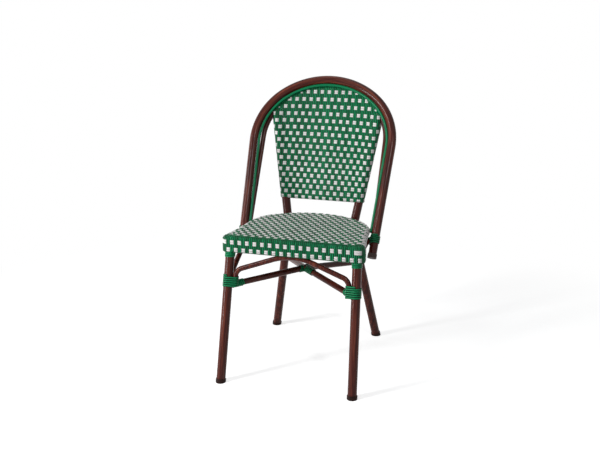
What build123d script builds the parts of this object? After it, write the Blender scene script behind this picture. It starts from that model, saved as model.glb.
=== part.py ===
"""Stacking bistro chair: welded aluminium tube frame with a woven seat and back.

Units are millimetres. +Z is up and the chair faces -Y, so a sitter looks along -Y. Names say
left for x < 0 and right for x > 0. The origin lies on the floor in the middle of the overall
footprint. Each sub-part is one solid in its own file.
"""

import math
import os

from build123d import *

os.makedirs("parts", exist_ok=True)

# ---------------------------------------------------------------- driving dimensions

# tubes: outer radius and wall
leg_radius = 14.0
leg_wall = 1.8
hoop_radius = 13.0
hoop_wall = 1.8
inner_radius = 8.0
inner_wall = 1.4
ring_radius = 10.0
ring_wall = 1.5
stretcher_radius = 9.5
stretcher_wall = 1.5
brace_radius = 8.0
brace_wall = 1.4
spacer_radius = 5.0

# weld clearance, and the looser fit of woven and wound plastic
weld_gap = 0.2
weave_gap = 0.3
weave_thickness = 2.6

# depths below are measured from the line between the front feet, back towards the rear
front_foot_x = 206.0
rear_foot_x = 179.5
rear_foot_depth = 490.0

# front legs lean back and slightly in
front_top_x = 195.3
front_top_depth = 89.6
front_top_z = 428.0

# rear legs: narrow waist at the seat, then up to the arch as the stays of the back
waist_x = 109.0
waist_depth = 407.0
waist_z = 396.0
waist_bend = 70.0
stay_top_drop = 110.0

# hoops: flat bends leaning back; the arch is two side arcs and a wider top arc
overall_height = 880.0
lean_angle = 30.5
lean_z = 450.0
lean_depth = 274.5
hoop_crown_rise = 195.6
hoop_half_width = 229.2
hoop_side_bend = 203.0
hoop_foot_half_width = 210.8
hoop_end_z = 367.0

# inner hoop, inside and behind the outer one
inner_setback = 20.0
inner_half_width = 203.7
inner_top_step = 14.8
inner_side_bend = 172.0
inner_end_z = 402.0

# cord in the groove in front of the two hoops
cord_radius = 4.6
cord_setback = 3.7
cord_start_z = 451.0

# seat ring in plan
seat_top_z = 447.0
ring_front_inset = 9.6
ring_half_width = 203.7
ring_corner = 26.0
ring_corner_turn = 101.2
ring_side_bend = 1270.0
ring_side_turn = 6.6
ring_hip_bend = 124.0
ring_hip_turn = 41.4

# rails
apron_rail_z = 408.0
back_rail_z = 493.7
rear_rail_depth = 396.0
spacer_depth = 291.0
spacer_start_x = 172.0

# braces under the seat
joint_z = 307.0
bow_end_z = 306.0
bow_corner_z = 340.5
bow_apex_z = 391.8
bow_slope = 19.6
bow_corner_bend = 28.0
bow_crest_bend = 179.0
crossing_depth = 218.5
crossing_z = 316.5
stretcher_front_z = 292.5
stretcher_rear_z = 280.0
stretcher_bend = 60.0
side_knee_x = 186.5
side_knee_depth = 181.0
side_knee_z = 393.0
side_turn_x = 189.0
side_turn_depth = 252.0
side_turn_z = 407.0
side_bend = 40.0
side_end_z = 412.0

# feet and plugs
foot_cap_height = 10.0
foot_cap_wall = 1.6
foot_cap_floor = 4.0
leg_spare = 20.0
plug_wall = 1.1
plug_floor = 3.0
plug_height = 14.0

# bindings
joint_binding_low_z = 287.0
joint_binding_high_z = 327.0
collar_length = 50.0
brace_binding_length = 33.0
leg_top_binding_low_z = 376.0
leg_top_binding_high_z = 392.5
hoop_binding_low_z = 402.0
hoop_binding_high_z = 430.0
inner_binding_high_z = 418.0
side_binding_length = 22.0
crossing_binding_length = 46.0
crossing_binding_reach = 20.0

skirt_top_z = 429.0
skirt_side_length = 14.0

# ---------------------------------------------------------------- derived levels

skin = weave_gap + weave_thickness
hoop_top_z = overall_height - hoop_radius
hoop_spring_z = overall_height - hoop_crown_rise
stay_top_z = overall_height - stay_top_drop
ring_front_depth = front_top_depth - ring_front_inset
foot_cap_radius = leg_radius + weld_gap + foot_cap_wall
lean_sin = math.sin(math.radians(lean_angle))
lean_cos = math.cos(math.radians(lean_angle))
hoop_top = (hoop_top_z - lean_z) / lean_cos
inner_top = hoop_top - inner_top_step
rearmost_depth = lean_depth + inner_top * lean_sin + inner_setback * lean_cos + inner_radius + skin
foremost_depth = -foot_cap_radius * math.hypot(1, front_top_depth / front_top_z)
front_y = -(foremost_depth + rearmost_depth) / 2
ring_z = seat_top_z - skin - ring_radius
apron_low_z = apron_rail_z - brace_radius - skin
apron_rail_depth = ring_front_depth - ring_radius + brace_radius
rear_rail_z = ring_z - ring_radius - skin - weave_gap - stretcher_radius


# ---------------------------------------------------------------- helpers


def save(part, name):
    """Labels a finished sub-part and writes its STEP file."""
    part.label = name
    export_step(part, f"parts/{name}.step")


def at(x, depth, z):
    """A point given by its depth behind the front feet."""
    return Vector(x, front_y + depth, z)


def mirrored(point, sign):
    """The point itself for sign +1, its mirror image on the other side for sign -1."""
    return Vector(sign * point.X, point.Y, point.Z)


def on_line(start, end, z):
    """The point at height z on the line through start and end."""
    return start + (end - start) * ((z - start.Z) / (end.Z - start.Z))


def straight(start, end):
    """A straight path."""
    with BuildLine() as line:
        Line(start, end)
    return line.wire()


def bent(points, radii):
    """A path of straight stretches with a round bend of the given radius at each inner point."""
    with BuildLine() as line:
        start = points[0]
        for before, corner, after, radius in zip(points, points[1:], points[2:], radii):
            back = (before - corner).normalized()
            ahead = (after - corner).normalized()
            half_angle = math.radians(back.get_angle(ahead)) / 2
            inset = radius / math.tan(half_angle)
            reach = radius / math.sin(half_angle) - radius
            middle = corner + (back + ahead).normalized() * reach
            Line(start, corner + back * inset)
            ThreePointArc(corner + back * inset, middle, corner + ahead * inset)
            start = corner + ahead * inset
        Line(start, points[-1])
    return line.wire()


def sweep_round(path, radius, wall=None):
    """Adds a rod, or a tube when a wall is given, along path to the part being built."""
    start = Plane(origin=path @ 0, z_dir=path % 0)
    with BuildSketch(start) as section:
        Circle(radius)
    sweep(sections=section.sketch, path=path)
    if wall:
        with BuildSketch(start) as bore:
            Circle(radius - wall)
        sweep(sections=bore.sketch, path=path, mode=Mode.SUBTRACT)


def rod(path, radius):
    """A solid round bar along path, used to clear the space that a tube takes up."""
    with BuildPart() as bar:
        sweep_round(path, radius)
    return bar.part


def clear(*bars):
    """Cuts the given bars out of the part being built."""
    for bar in bars:
        add(bar, mode=Mode.SUBTRACT)


def keep_above(z):
    """Cuts away everything below height z."""
    split(bisect_by=Plane.XY.offset(z), keep=Keep.TOP)


# ---------------------------------------------------------------- centre lines


lean_plane = Plane(origin=at(0, lean_depth, lean_z), x_dir=(1, 0, 0), z_dir=(0, -lean_cos, lean_sin))


def level(z, setback):
    """Distance up the leaning plane, set back by the given amount, at which it has height z."""
    return (z - lean_z + setback * lean_sin) / lean_cos


def leg_taper(half_width, side_bend, foot_half_width, foot_z):
    """Degrees by which a leg leans in below its side arc to reach a half width at height foot_z."""
    inward = foot_half_width - (half_width - side_bend)
    down = level(hoop_spring_z, 0) - level(foot_z, 0)
    return math.degrees(math.atan2(down, inward) - math.acos(side_bend / math.hypot(inward, down)))


class Hoop:
    """Right half of a flat hoop: a leg, a side arc and a top arc, all tangent to each other."""

    def __init__(self, setback, half_width, side_bend, top, taper):
        self.setback = setback
        self.plane = lean_plane.offset(-setback)
        self.spring = level(hoop_spring_z, setback)
        self.side_bend = side_bend
        self.side_centre = half_width - side_bend
        self.taper = math.radians(taper)
        self.top = top
        rise = top - self.spring
        self.top_bend = (self.side_centre**2 + rise**2 - side_bend**2) / (2 * (rise - side_bend))
        self.join = math.atan2(self.top_bend - rise, self.side_centre)

    def on_side(self, turn):
        """Flat point of the side arc at an angle above its springing."""
        x = self.side_centre + self.side_bend * math.cos(turn)
        return (x, self.spring + self.side_bend * math.sin(turn))

    def on_top(self, turn):
        """Flat point of the top arc at an angle above the horizontal."""
        x = self.top_bend * math.cos(turn)
        return (x, self.top - self.top_bend + self.top_bend * math.sin(turn))

    def on_leg(self, height):
        """Flat point of the leg at a distance up the plane."""
        x, foot = self.on_side(-self.taper)
        return (x - (foot - height) * math.tan(self.taper), height)

    def lift(self, flat):
        """The point in space of a flat point."""
        return self.plane.from_local_coords(Vector(*flat))

    def leg_at(self, z):
        """The point of the leg at height z."""
        return self.lift(self.on_leg(level(z, self.setback)))

    def arch(self, first):
        """Draws the arcs from an angle on the side arc to the middle of the top."""
        half = (first + self.join) / 2
        ThreePointArc(self.on_side(first), self.on_side(half), self.on_side(self.join))
        half = (self.join + math.pi / 2) / 2
        ThreePointArc(self.on_side(self.join), self.on_top(half), (0, self.top))

    def path(self, end_z):
        """The centre line from the leg's end at height end_z to the middle of the top."""
        with BuildLine(self.plane) as line:
            Line(self.on_leg(level(end_z, self.setback)), self.on_side(-self.taper))
            self.arch(-self.taper)
        return line.wire()


hoop_taper = leg_taper(hoop_half_width, hoop_side_bend, hoop_foot_half_width, hoop_end_z)
outer = Hoop(0, hoop_half_width, hoop_side_bend, hoop_top, hoop_taper)
inner = Hoop(inner_setback, inner_half_width, inner_side_bend, inner_top, 0)
cord_reach = hoop_radius + cord_radius + weave_gap
cord_step = math.sqrt(cord_reach**2 - cord_setback**2)
cord = Hoop(
    cord_setback, hoop_half_width - cord_step, hoop_side_bend - cord_step, hoop_top - cord_step, hoop_taper
)
cord.spring = outer.spring
cord.top_bend = outer.top_bend - cord_step
cord.join = outer.join
stay_turn = math.asin((level(stay_top_z, inner_setback) - inner.spring) / inner_side_bend)

front_foot = at(front_foot_x, 0, 0)
front_top = at(front_top_x, front_top_depth, front_top_z)
rear_foot = at(rear_foot_x, rear_foot_depth, 0)
waist = at(waist_x, waist_depth, waist_z)
stay_top = inner.lift(inner.on_side(stay_turn))

front_leg_base = on_line(front_foot, front_top, foot_cap_floor - leg_spare)
rear_leg_base = on_line(rear_foot, waist, foot_cap_floor - leg_spare)
stay_end = stay_top + (waist - stay_top).normalized() * (inner_radius / 2)

hoop_path = outer.path(hoop_end_z)
inner_path = inner.path(inner_end_z)
cord_path = cord.path(cord_start_z)
front_leg_path = straight(front_leg_base, front_top)
rear_leg_path = bent([rear_leg_base, waist, stay_end], [waist_bend])

front_joint = on_line(front_foot, front_top, joint_z)
front_start = on_line(front_foot, front_top, stretcher_front_z)
rear_start = on_line(rear_foot, waist, stretcher_rear_z)
crossing = at(0, crossing_depth, crossing_z)
long_path = bent([mirrored(front_start, -1), crossing, rear_start], [stretcher_bend])
front_half_path = straight(crossing, front_start)
rear_half_path = straight(crossing, mirrored(rear_start, -1))

bow_offset = Vector(leg_radius + brace_radius + weld_gap, 0, 0)
bow_end = on_line(front_foot, front_top, bow_end_z) - bow_offset
bow_corner = on_line(front_foot, front_top, bow_corner_z) - bow_offset
bow_peak_z = bow_corner_z + bow_corner.X * math.tan(math.radians(bow_slope))
bow_peak = Vector(0, on_line(front_foot, front_top, bow_peak_z).Y, bow_peak_z)
bow_path = bent(
    [mirrored(bow_end, -1), mirrored(bow_corner, -1), bow_peak, bow_corner, bow_end],
    [bow_corner_bend, bow_crest_bend, bow_corner_bend],
)

side_end = inner.leg_at(side_end_z)
side_knee = at(side_knee_x, side_knee_depth, side_knee_z)
side_turn = at(side_turn_x, side_turn_depth, side_turn_z)
side_path = bent([front_joint, side_knee, side_turn, side_end], [side_bend, side_bend])

apron_rail_middle = at(0, apron_rail_depth, apron_rail_z)
apron_rail_end = at(on_line(front_foot, front_top, apron_rail_z).X, apron_rail_depth, apron_rail_z)
back_rail_end = on_line(waist, stay_top, back_rail_z)
back_rail_middle = Vector(0, back_rail_end.Y, back_rail_end.Z)
rear_rail_middle = at(0, rear_rail_depth, rear_rail_z)
rear_rail_end = at(waist_x, rear_rail_depth, rear_rail_z)
spacer_start = at(spacer_start_x, spacer_depth, ring_z)
spacer_end = inner.leg_at(ring_z)

with BuildLine(Plane.XY.offset(ring_z)) as ring_line:
    front = Line((0, front_y + ring_front_depth), (ring_half_width - ring_corner, front_y + ring_front_depth))
    corner = JernArc(front @ 1, front % 1, ring_corner, ring_corner_turn)
    flank = JernArc(corner @ 1, corner % 1, ring_side_bend, -ring_side_turn)
    hip = JernArc(flank @ 1, flank % 1, ring_hip_bend, ring_hip_turn)
    heading = math.degrees(math.atan2((hip % 1).Y, (hip % 1).X))
    JernArc(hip @ 1, hip % 1, (hip @ 1).X / math.sin(math.radians(heading)), 180 - heading)
ring_path = ring_line.wire()


# ---------------------------------------------------------------- space taken by the tubes
# right half only: the left pieces are mirror images of the right ones

weld_front_leg = rod(front_leg_path, leg_radius + weld_gap)
weld_rear_leg = rod(rear_leg_path, leg_radius + weld_gap)
weld_hoop = rod(hoop_path, hoop_radius + weld_gap)
weld_inner = rod(inner_path, inner_radius + weld_gap)
weld_ring = rod(ring_path, ring_radius + weld_gap)
weld_long = rod(long_path, stretcher_radius + weld_gap)


def save_pair(part, name):
    """Writes a right-hand piece and its mirror image as the left-hand one."""
    save(part, f"{name}_right")
    with BuildPart() as left:
        mirror(part, about=Plane.YZ)
    save(left.part, f"{name}_left")


# ---------------------------------------------------------------- welded frame

with BuildPart() as front_leg:
    sweep_round(front_leg_path, leg_radius, leg_wall)
    keep_above(foot_cap_floor)
    clear(weld_ring)
save_pair(front_leg.part, "front_leg")

with BuildPart() as rear_leg:
    sweep_round(rear_leg_path, leg_radius, leg_wall)
    keep_above(foot_cap_floor)
    clear(weld_inner)
save_pair(rear_leg.part, "rear_leg")

with BuildPart() as outer_hoop:
    sweep_round(hoop_path, hoop_radius, hoop_wall)
    mirror(about=Plane.YZ)
save(outer_hoop.part, "outer_hoop")

with BuildPart() as inner_hoop:
    sweep_round(inner_path, inner_radius, inner_wall)
    mirror(about=Plane.YZ)
save(inner_hoop.part, "inner_hoop")

with BuildPart() as seat_frame_ring:
    sweep_round(ring_path, ring_radius, ring_wall)
    mirror(about=Plane.YZ)
save(seat_frame_ring.part, "seat_frame_ring")

with BuildPart() as apron_lower_rail:
    sweep_round(straight(apron_rail_middle, apron_rail_end), brace_radius, brace_wall)
    clear(weld_front_leg)
    mirror(about=Plane.YZ)
save(apron_lower_rail.part, "apron_lower_rail")

with BuildPart() as back_lower_rail:
    sweep_round(straight(back_rail_middle, back_rail_end), brace_radius, brace_wall)
    clear(weld_rear_leg)
    mirror(about=Plane.YZ)
save(back_lower_rail.part, "back_lower_rail")

with BuildPart() as rear_cross_rail:
    sweep_round(straight(rear_rail_middle, rear_rail_end), stretcher_radius, stretcher_wall)
    clear(weld_rear_leg)
    mirror(about=Plane.YZ)
save(rear_cross_rail.part, "rear_cross_rail")

with BuildPart() as bow_brace:
    sweep_round(bow_path, brace_radius, brace_wall)
save(bow_brace.part, "bow_brace")

with BuildPart() as side_brace:
    sweep_round(side_path, brace_radius, brace_wall)
    clear(weld_front_leg, weld_inner, weld_hoop)
save_pair(side_brace.part, "side_brace")

with BuildPart() as hoop_spacer:
    sweep_round(straight(spacer_start, spacer_end), spacer_radius)
    clear(weld_ring, weld_inner)
save_pair(hoop_spacer.part, "hoop_spacer")

# the long stretcher runs from the left front leg to the right rear leg
with BuildPart() as lower_stretcher_long:
    sweep_round(long_path, stretcher_radius, stretcher_wall)
    clear(mirror(weld_front_leg, about=Plane.YZ, mode=Mode.PRIVATE), weld_rear_leg)
save(lower_stretcher_long.part, "lower_stretcher_long")

with BuildPart() as lower_stretcher_front_half:
    sweep_round(front_half_path, stretcher_radius, stretcher_wall)
    clear(weld_front_leg, weld_long)
save(lower_stretcher_front_half.part, "lower_stretcher_front_half")

with BuildPart() as lower_stretcher_rear_half:
    sweep_round(rear_half_path, stretcher_radius, stretcher_wall)
    clear(mirror(weld_rear_leg, about=Plane.YZ, mode=Mode.PRIVATE), weld_long)
save(lower_stretcher_rear_half.part, "lower_stretcher_rear_half")

# ---------------------------------------------------------------- caps and plugs


def foot_cap(leg_path, foot, above):
    """A rubber cup over the foot of a leg, flat on the floor."""
    with BuildPart() as leg_space:
        sweep_round(leg_path, leg_radius + weld_gap)
        keep_above(foot_cap_floor)
    with BuildPart() as cap:
        sweep_round(straight(leg_path @ 0, on_line(foot, above, foot_cap_height)), foot_cap_radius)
        keep_above(0)
        clear(leg_space.part)
    return cap.part


save_pair(foot_cap(front_leg_path, front_foot, front_top), "front_foot_cap")
save_pair(foot_cap(rear_leg_path, rear_foot, waist), "rear_foot_cap")

hoop_end = Plane(origin=hoop_path @ 0, z_dir=hoop_path % 0)
with BuildPart() as hoop_end_plug:
    with BuildSketch(hoop_end.offset(-plug_floor)):
        Circle(hoop_radius + weld_gap + plug_wall)
    extrude(amount=plug_height)
    with BuildSketch(hoop_end):
        Circle(hoop_radius + weld_gap)
    extrude(amount=plug_height, mode=Mode.SUBTRACT)
save_pair(hoop_end_plug.part, "hoop_end_plug")

# ---------------------------------------------------------------- weave

loose_front_leg = rod(front_leg_path, leg_radius + weave_gap)
loose_rear_leg = rod(rear_leg_path, leg_radius + weave_gap)
loose_hoop = rod(hoop_path, hoop_radius + weave_gap)
loose_inner = rod(inner_path, inner_radius + weave_gap)
loose_bow = rod(bow_path, brace_radius + weave_gap)
loose_side = rod(side_path, brace_radius + weave_gap)
loose_long = rod(long_path, stretcher_radius + weave_gap)
loose_front_half = rod(front_half_path, stretcher_radius + weave_gap)
loose_rear_half = rod(rear_half_path, stretcher_radius + weave_gap)

# a sleeve round the ring and a flat sheet across it
sheet_outline = Wire(ring_path.edges() + [Edge.make_line(ring_path @ 1, ring_path @ 0)])
sheet = Face(sheet_outline.moved(Location((0, 0, seat_top_z - weave_thickness - ring_z))))
with BuildPart() as seat_weave:
    sweep_round(ring_path, ring_radius + skin)
    extrude(sheet, amount=weave_thickness, dir=(0, 0, 1))
    clear(rod(ring_path, ring_radius + weave_gap), loose_front_leg)
    clear(rod(straight(spacer_start, spacer_end), spacer_radius + weave_gap))
    mirror(about=Plane.YZ)
save(seat_weave.part, "seat_weave")

# the skirt below the front of the seat: wrapped round the lower rail and the legs' outer sides
skirt_y = front_y + apron_rail_depth - brace_radius - skin
skirt_turn = leg_radius + skin
with BuildPart() as apron_weave:
    sweep_round(straight(apron_rail_middle, apron_rail_end), brace_radius + skin)
    with BuildSketch(Plane.XY.offset(apron_low_z)) as skirt:
        with BuildLine():
            face = Line((0, skirt_y), (apron_rail_end.X, skirt_y))
            corner = JernArc(face @ 1, face % 1, skirt_turn, 90)
            side = Line(corner @ 1, (corner @ 1) + Vector(0, skirt_side_length))
            hem = Line(side @ 1, (side @ 1) - Vector(weave_thickness, 0))
            back = Line(hem @ 1, (hem @ 1) - Vector(0, skirt_side_length))
            inside = JernArc(back @ 1, back % 1, leg_radius + weave_gap, -90)
            Line(inside @ 1, (0, skirt_y + weave_thickness))
            Line((0, skirt_y + weave_thickness), face @ 0)
        make_face()
    extrude(amount=skirt_top_z - apron_low_z)
    clear(rod(ring_path, ring_radius + skin + weave_gap), loose_front_leg, loose_bow)
    clear(rod(straight(apron_rail_middle, apron_rail_end), brace_radius + weave_gap))
    mirror(about=Plane.YZ)
save(apron_weave.part, "apron_weave")

# the back: a sheet ruled from the lower rail to the arch, and sleeves round its three tubes
sheet_shift = Vector(0, -inner_radius - weave_gap - weave_thickness / 2, 0)
with BuildLine(inner.plane) as arch_line:
    inner.arch(stay_turn)
arch_path = arch_line.wire()
join_share = arch_path.edges()[1].length / arch_path.length
rail_join = back_rail_middle + (back_rail_end - back_rail_middle) * join_share
rail_edges = [
    Edge.make_line(back_rail_end + sheet_shift, rail_join + sheet_shift),
    Edge.make_line(rail_join + sheet_shift, back_rail_middle + sheet_shift),
]
sleeve_foot = on_line(waist, stay_top, back_rail_z - brace_radius - skin)
sleeve_head = on_line(waist, stay_top, stay_top_z - leg_radius)
with BuildPart() as back_weave:
    for low, high in zip(rail_edges, arch_path.edges()):
        strip = Face.make_surface_from_curves(low, high.moved(Location(sheet_shift)))
        thicken(strip, amount=weave_thickness / 2, both=True)
    sweep_round(arch_path, inner_radius + skin)
    sweep_round(straight(back_rail_middle, back_rail_end), brace_radius + skin)
    sweep_round(straight(sleeve_foot, sleeve_head), leg_radius + skin)
    clear(loose_rear_leg, loose_inner, loose_hoop)
    clear(rod(straight(back_rail_middle, back_rail_end), brace_radius + weave_gap))
    split(bisect_by=Plane.YZ, keep=Keep.TOP)
    mirror(about=Plane.YZ)
save(back_weave.part, "back_weave")

with BuildPart() as hoop_cord:
    sweep_round(cord_path, cord_radius)
    mirror(about=Plane.YZ)
save(hoop_cord.part, "hoop_cord")

# ---------------------------------------------------------------- bindings


def stretch(start, end, length):
    """The first part, of the given length, of the line from start to end."""
    return straight(start, start + (end - start).normalized() * length)


def leg_stretch(low_z, high_z):
    """The front leg's centre line between two heights."""
    return straight(on_line(front_foot, front_top, low_z), on_line(front_foot, front_top, high_z))


with BuildPart() as leg_joint_binding:
    sweep_round(leg_stretch(joint_binding_low_z, joint_binding_high_z), leg_radius + skin)
    sweep_round(straight(bow_end, on_line(bow_end, bow_corner, joint_binding_high_z)), brace_radius + skin)
    sweep_round(stretch(front_start, crossing, collar_length), stretcher_radius + skin)
    sweep_round(stretch(front_joint, side_knee, brace_binding_length), brace_radius + skin)
    clear(loose_front_leg, loose_bow, loose_front_half, loose_side)
save_pair(leg_joint_binding.part, "leg_joint_binding")

with BuildPart() as leg_top_binding:
    sweep_round(leg_stretch(leg_top_binding_low_z, leg_top_binding_high_z), leg_radius + skin)
    clear(loose_front_leg)
save_pair(leg_top_binding.part, "leg_top_binding")

with BuildPart() as hoop_end_binding:
    sweep_round(
        straight(outer.leg_at(hoop_binding_low_z), outer.leg_at(hoop_binding_high_z)), hoop_radius + skin
    )
    sweep_round(
        straight(inner.leg_at(inner_end_z), inner.leg_at(inner_binding_high_z)), inner_radius + skin
    )
    sweep_round(stretch(side_end, side_turn, side_binding_length), brace_radius + skin)
    clear(loose_hoop, loose_inner, loose_side)
save_pair(hoop_end_binding.part, "hoop_end_binding")

with BuildPart() as centre_binding:
    sweep_round(stretch(crossing, front_start, crossing_binding_length), stretcher_radius + skin)
    sweep_round(stretch(crossing, mirrored(front_start, -1), crossing_binding_reach), stretcher_radius + skin)
    sweep_round(stretch(crossing, rear_start, crossing_binding_reach), stretcher_radius + skin)
    clear(loose_long, loose_front_half, loose_rear_half)
save(centre_binding.part, "centre_binding")
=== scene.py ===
# %% [markdown]
# # A woven bistro chair
# The real chair is a welded frame of painted tube. Flat plastic strands are woven over its seat
# ring and its back, and the same strand is wound round every joint. The frame comes from the
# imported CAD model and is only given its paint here. Everything woven or wound is made in this
# file, strand by strand, because the light catches each strand on its own.

import math

import bpy
import mathutils
import numpy as np
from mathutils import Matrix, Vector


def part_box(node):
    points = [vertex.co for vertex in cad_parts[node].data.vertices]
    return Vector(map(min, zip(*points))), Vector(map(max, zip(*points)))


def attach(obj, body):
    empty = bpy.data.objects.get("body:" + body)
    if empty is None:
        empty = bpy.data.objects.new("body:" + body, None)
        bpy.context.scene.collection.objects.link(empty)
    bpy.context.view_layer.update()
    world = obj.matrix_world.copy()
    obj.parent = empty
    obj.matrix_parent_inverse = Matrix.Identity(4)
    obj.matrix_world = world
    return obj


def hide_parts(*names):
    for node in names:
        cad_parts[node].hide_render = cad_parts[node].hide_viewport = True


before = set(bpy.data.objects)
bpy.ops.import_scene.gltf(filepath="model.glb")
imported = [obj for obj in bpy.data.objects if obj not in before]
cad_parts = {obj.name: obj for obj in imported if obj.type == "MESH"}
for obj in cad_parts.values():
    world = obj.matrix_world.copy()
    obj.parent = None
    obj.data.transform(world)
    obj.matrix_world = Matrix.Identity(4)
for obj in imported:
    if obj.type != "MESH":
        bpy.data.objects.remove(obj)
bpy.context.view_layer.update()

# %% [markdown]
# ## Measures
# All lengths are millimetres until a mesh is written. Depths are counted from the line between
# the front feet towards the rear, as a chair maker would, and FRONT moves them into the frame.
# The front foot caps are the foremost things, so that line is found from their box.

# %% Measures of the frame
MM = 0.001
# radii of the tubes and of the foot cap
LEG, HOOP, INNER, RING, BRACE, STRETCHER, CAP = 14.0, 13.0, 8.0, 10.0, 8.0, 9.5, 15.8
LEG_TOP_DEPTH, LEG_TOP_Z = 89.6, 428.0
CAP_REACH = CAP * math.hypot(1.0, LEG_TOP_DEPTH / LEG_TOP_Z)
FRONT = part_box("front_foot_cap_left")[0][1] / MM + CAP_REACH
# heights of the seat ring and of the skirt's lower rail
RING_Z, RAIL_Z = 434.1, 404.5
# a strand's thickness, and how far it lies above or below the middle of the weave
STRAND, RISE = 1.1, 0.7
print("front line at", round(FRONT, 2))


def new_object(name, data):
    """A new object of the scene, made of the given data."""
    made = bpy.data.objects.new(name, data)
    bpy.context.scene.collection.objects.link(made)
    return made


# %% [markdown]
# ## Node trees
# The air, the floor and every material are trees of nodes. A few helpers keep them short.


# %% Helpers for node trees
def node_tree(holder):
    """The emptied node tree of a material or a world."""
    holder.use_nodes = True
    holder.node_tree.nodes.clear()
    return holder.node_tree


def feed(node, inputs):
    """Fills a node's sockets. inputs maps each to a value or to the output that feeds it."""
    for key, value in dict(inputs).items():
        if isinstance(value, bpy.types.NodeSocket):
            node.id_data.links.new(value, node.inputs[key])
        else:
            node.inputs[key].default_value = value


def add_node(tree, kind, inputs=(), **settings):
    """Adds a shader node of a kind, with its settings and its inputs."""
    new = tree.nodes.new("ShaderNode" + kind)
    for key, value in settings.items():
        setattr(new, key, value)
    feed(new, inputs)
    return new


def math_node(tree, operation, first, second=0.0, third=0.0):
    """One sum on numbers or outputs, and its result."""
    return add_node(tree, "Math", {0: first, 1: second, 2: third}, operation=operation).outputs[0]


def times(tree, first, second):
    """The product of two numbers or outputs."""
    return math_node(tree, "MULTIPLY", first, second)


def plus(tree, first, second):
    """The sum of two numbers or outputs."""
    return math_node(tree, "ADD", first, second)


def noise(tree, place, scale, detail, roughness=0.5):
    """Noise from 0 to 1, read at place."""
    inputs = {"Vector": place, "Scale": scale, "Detail": detail, "Roughness": roughness}
    return add_node(tree, "TexNoise", inputs).outputs["Fac"]


def remap(tree, value, low, high, start=0.0, stop=1.0, kind="LINEAR"):
    """A value that runs from start to stop, made to run from low to high."""
    inputs = {"Value": value, "From Min": start, "From Max": stop, "To Min": low, "To Max": high}
    return add_node(tree, "MapRange", inputs, interpolation_type=kind).outputs[0]


def relief(tree, height, strength, distance):
    """The normal of a surface with a height, which counts in units of distance."""
    inputs = {"Height": height, "Strength": strength, "Distance": distance}
    return add_node(tree, "Bump", inputs).outputs["Normal"]


def seen_by_eye(tree):
    """1 for what the camera sees, straight, mirrored or through something, and 0 for light."""
    rays = add_node(tree, "LightPath").outputs
    direct = math_node(tree, "MAXIMUM", rays["Is Camera Ray"], rays["Is Glossy Ray"])
    return math_node(tree, "MAXIMUM", direct, rays["Is Transmission Ray"])


def colour_ramp(tree, value, *stops):
    """The colour read at value from stops of (position, colour)."""
    ramp = add_node(tree, "ValToRGB", {"Fac": value})
    steps = ramp.color_ramp.elements
    while len(steps) < len(stops):
        steps.new(0.5)
    for step, (position, colour) in zip(steps, stops):
        step.position, step.color = position, (*colour, 1)
    return ramp.outputs["Color"]


def new_material(name, constants):
    """A material with one Principled shader, whose constants are set on its own sockets."""
    material = bpy.data.materials.new(name)
    tree = node_tree(material)
    shader = add_node(tree, "BsdfPrincipled", constants)
    add_node(tree, "OutputMaterial", {"Surface": shader.outputs[0]})
    return material, tree, shader


# %% [markdown]
# ## Camera and studio
# The chair stands on a white sweep. A tall narrow lamp on the left and a high one on the right
# each draw a thin streak of light along the tubes. The sweep is white by its own colour, and what
# the camera sees behind the chair is white light that doesn't reach the chair.

# %% Camera
camera = new_object("camera", bpy.data.cameras.new("camera"))
bpy.context.scene.camera = camera
LOOK_DOWN, LOOK_ASIDE = 0.2798, 0.2798
camera.data.sensor_width = 36.0
camera.data.lens = 53.11
camera.location = (0.7111, -2.3123 + FRONT * MM, 1.2106)
camera.rotation_mode = "XYZ"
camera.rotation_euler = (math.pi / 2 - LOOK_DOWN, 0.0, LOOK_ASIDE)
camera.data.clip_start, camera.data.clip_end = 0.05, 50.0
print("camera at", tuple(round(v, 3) for v in camera.location))


# %% Lamps, sweep and background
def soft_lamp(name, place, target, width, height, power):
    """A rectangular lamp at place, turned towards target, its height kept upright."""
    lamp = bpy.data.lights.new(name, "AREA")
    lamp.shape = "RECTANGLE"
    lamp.size, lamp.size_y = width, height
    lamp.energy = power
    holder = new_object(name, lamp)
    holder.location = place
    way = np.array(target) - np.array(place)
    way = way / np.linalg.norm(way)
    holder.rotation_mode = "XYZ"
    holder.rotation_euler = (math.acos(-way[2]), 0.0, math.atan2(-way[0], way[1]))


soft_lamp("key_lamp", (-2.3, -2.1, 1.65), (0, 0, 1.25), 0.42, 3.2, 108)
soft_lamp("edge_lamp", (-2.7, 0.5, 0.8), (0, 0, 0.6), 0.2, 1.5, 10)
soft_lamp("fill_lamp", (1.95, -2.35, 3.6), (0, 0, 0.6), 0.36, 0.6, 26)
soft_lamp("top_lamp", (-0.3, 0.2, 3.0), (0, 0, 0.4), 1.4, 1.4, 7)

world = bpy.data.worlds.new("studio_air")
bpy.context.scene.world = world
air = node_tree(world)
room = add_node(air, "Background", {"Color": (0.93, 0.96, 1.0, 1.0), "Strength": 0.1})
white = add_node(air, "Background", {"Color": (1.0, 1.0, 1.0, 1.0), "Strength": 1.0})
shown = {0: seen_by_eye(air), 1: room.outputs[0], 2: white.outputs[0]}
pick = add_node(air, "MixShader", shown)
add_node(air, "OutputWorld", {"Surface": pick.outputs[0]})
bpy.context.scene.view_settings.view_transform = "Standard"


# %% [markdown]
# ## Putting arrays into meshes
# Every new piece is a set of strands. A strand is a closed outline carried along a path, so all
# strands of one family fit in one array: strand, step along it, point round it. One function
# turns that array into a mesh, with the distance across and along each strand as its UV map.


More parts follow.
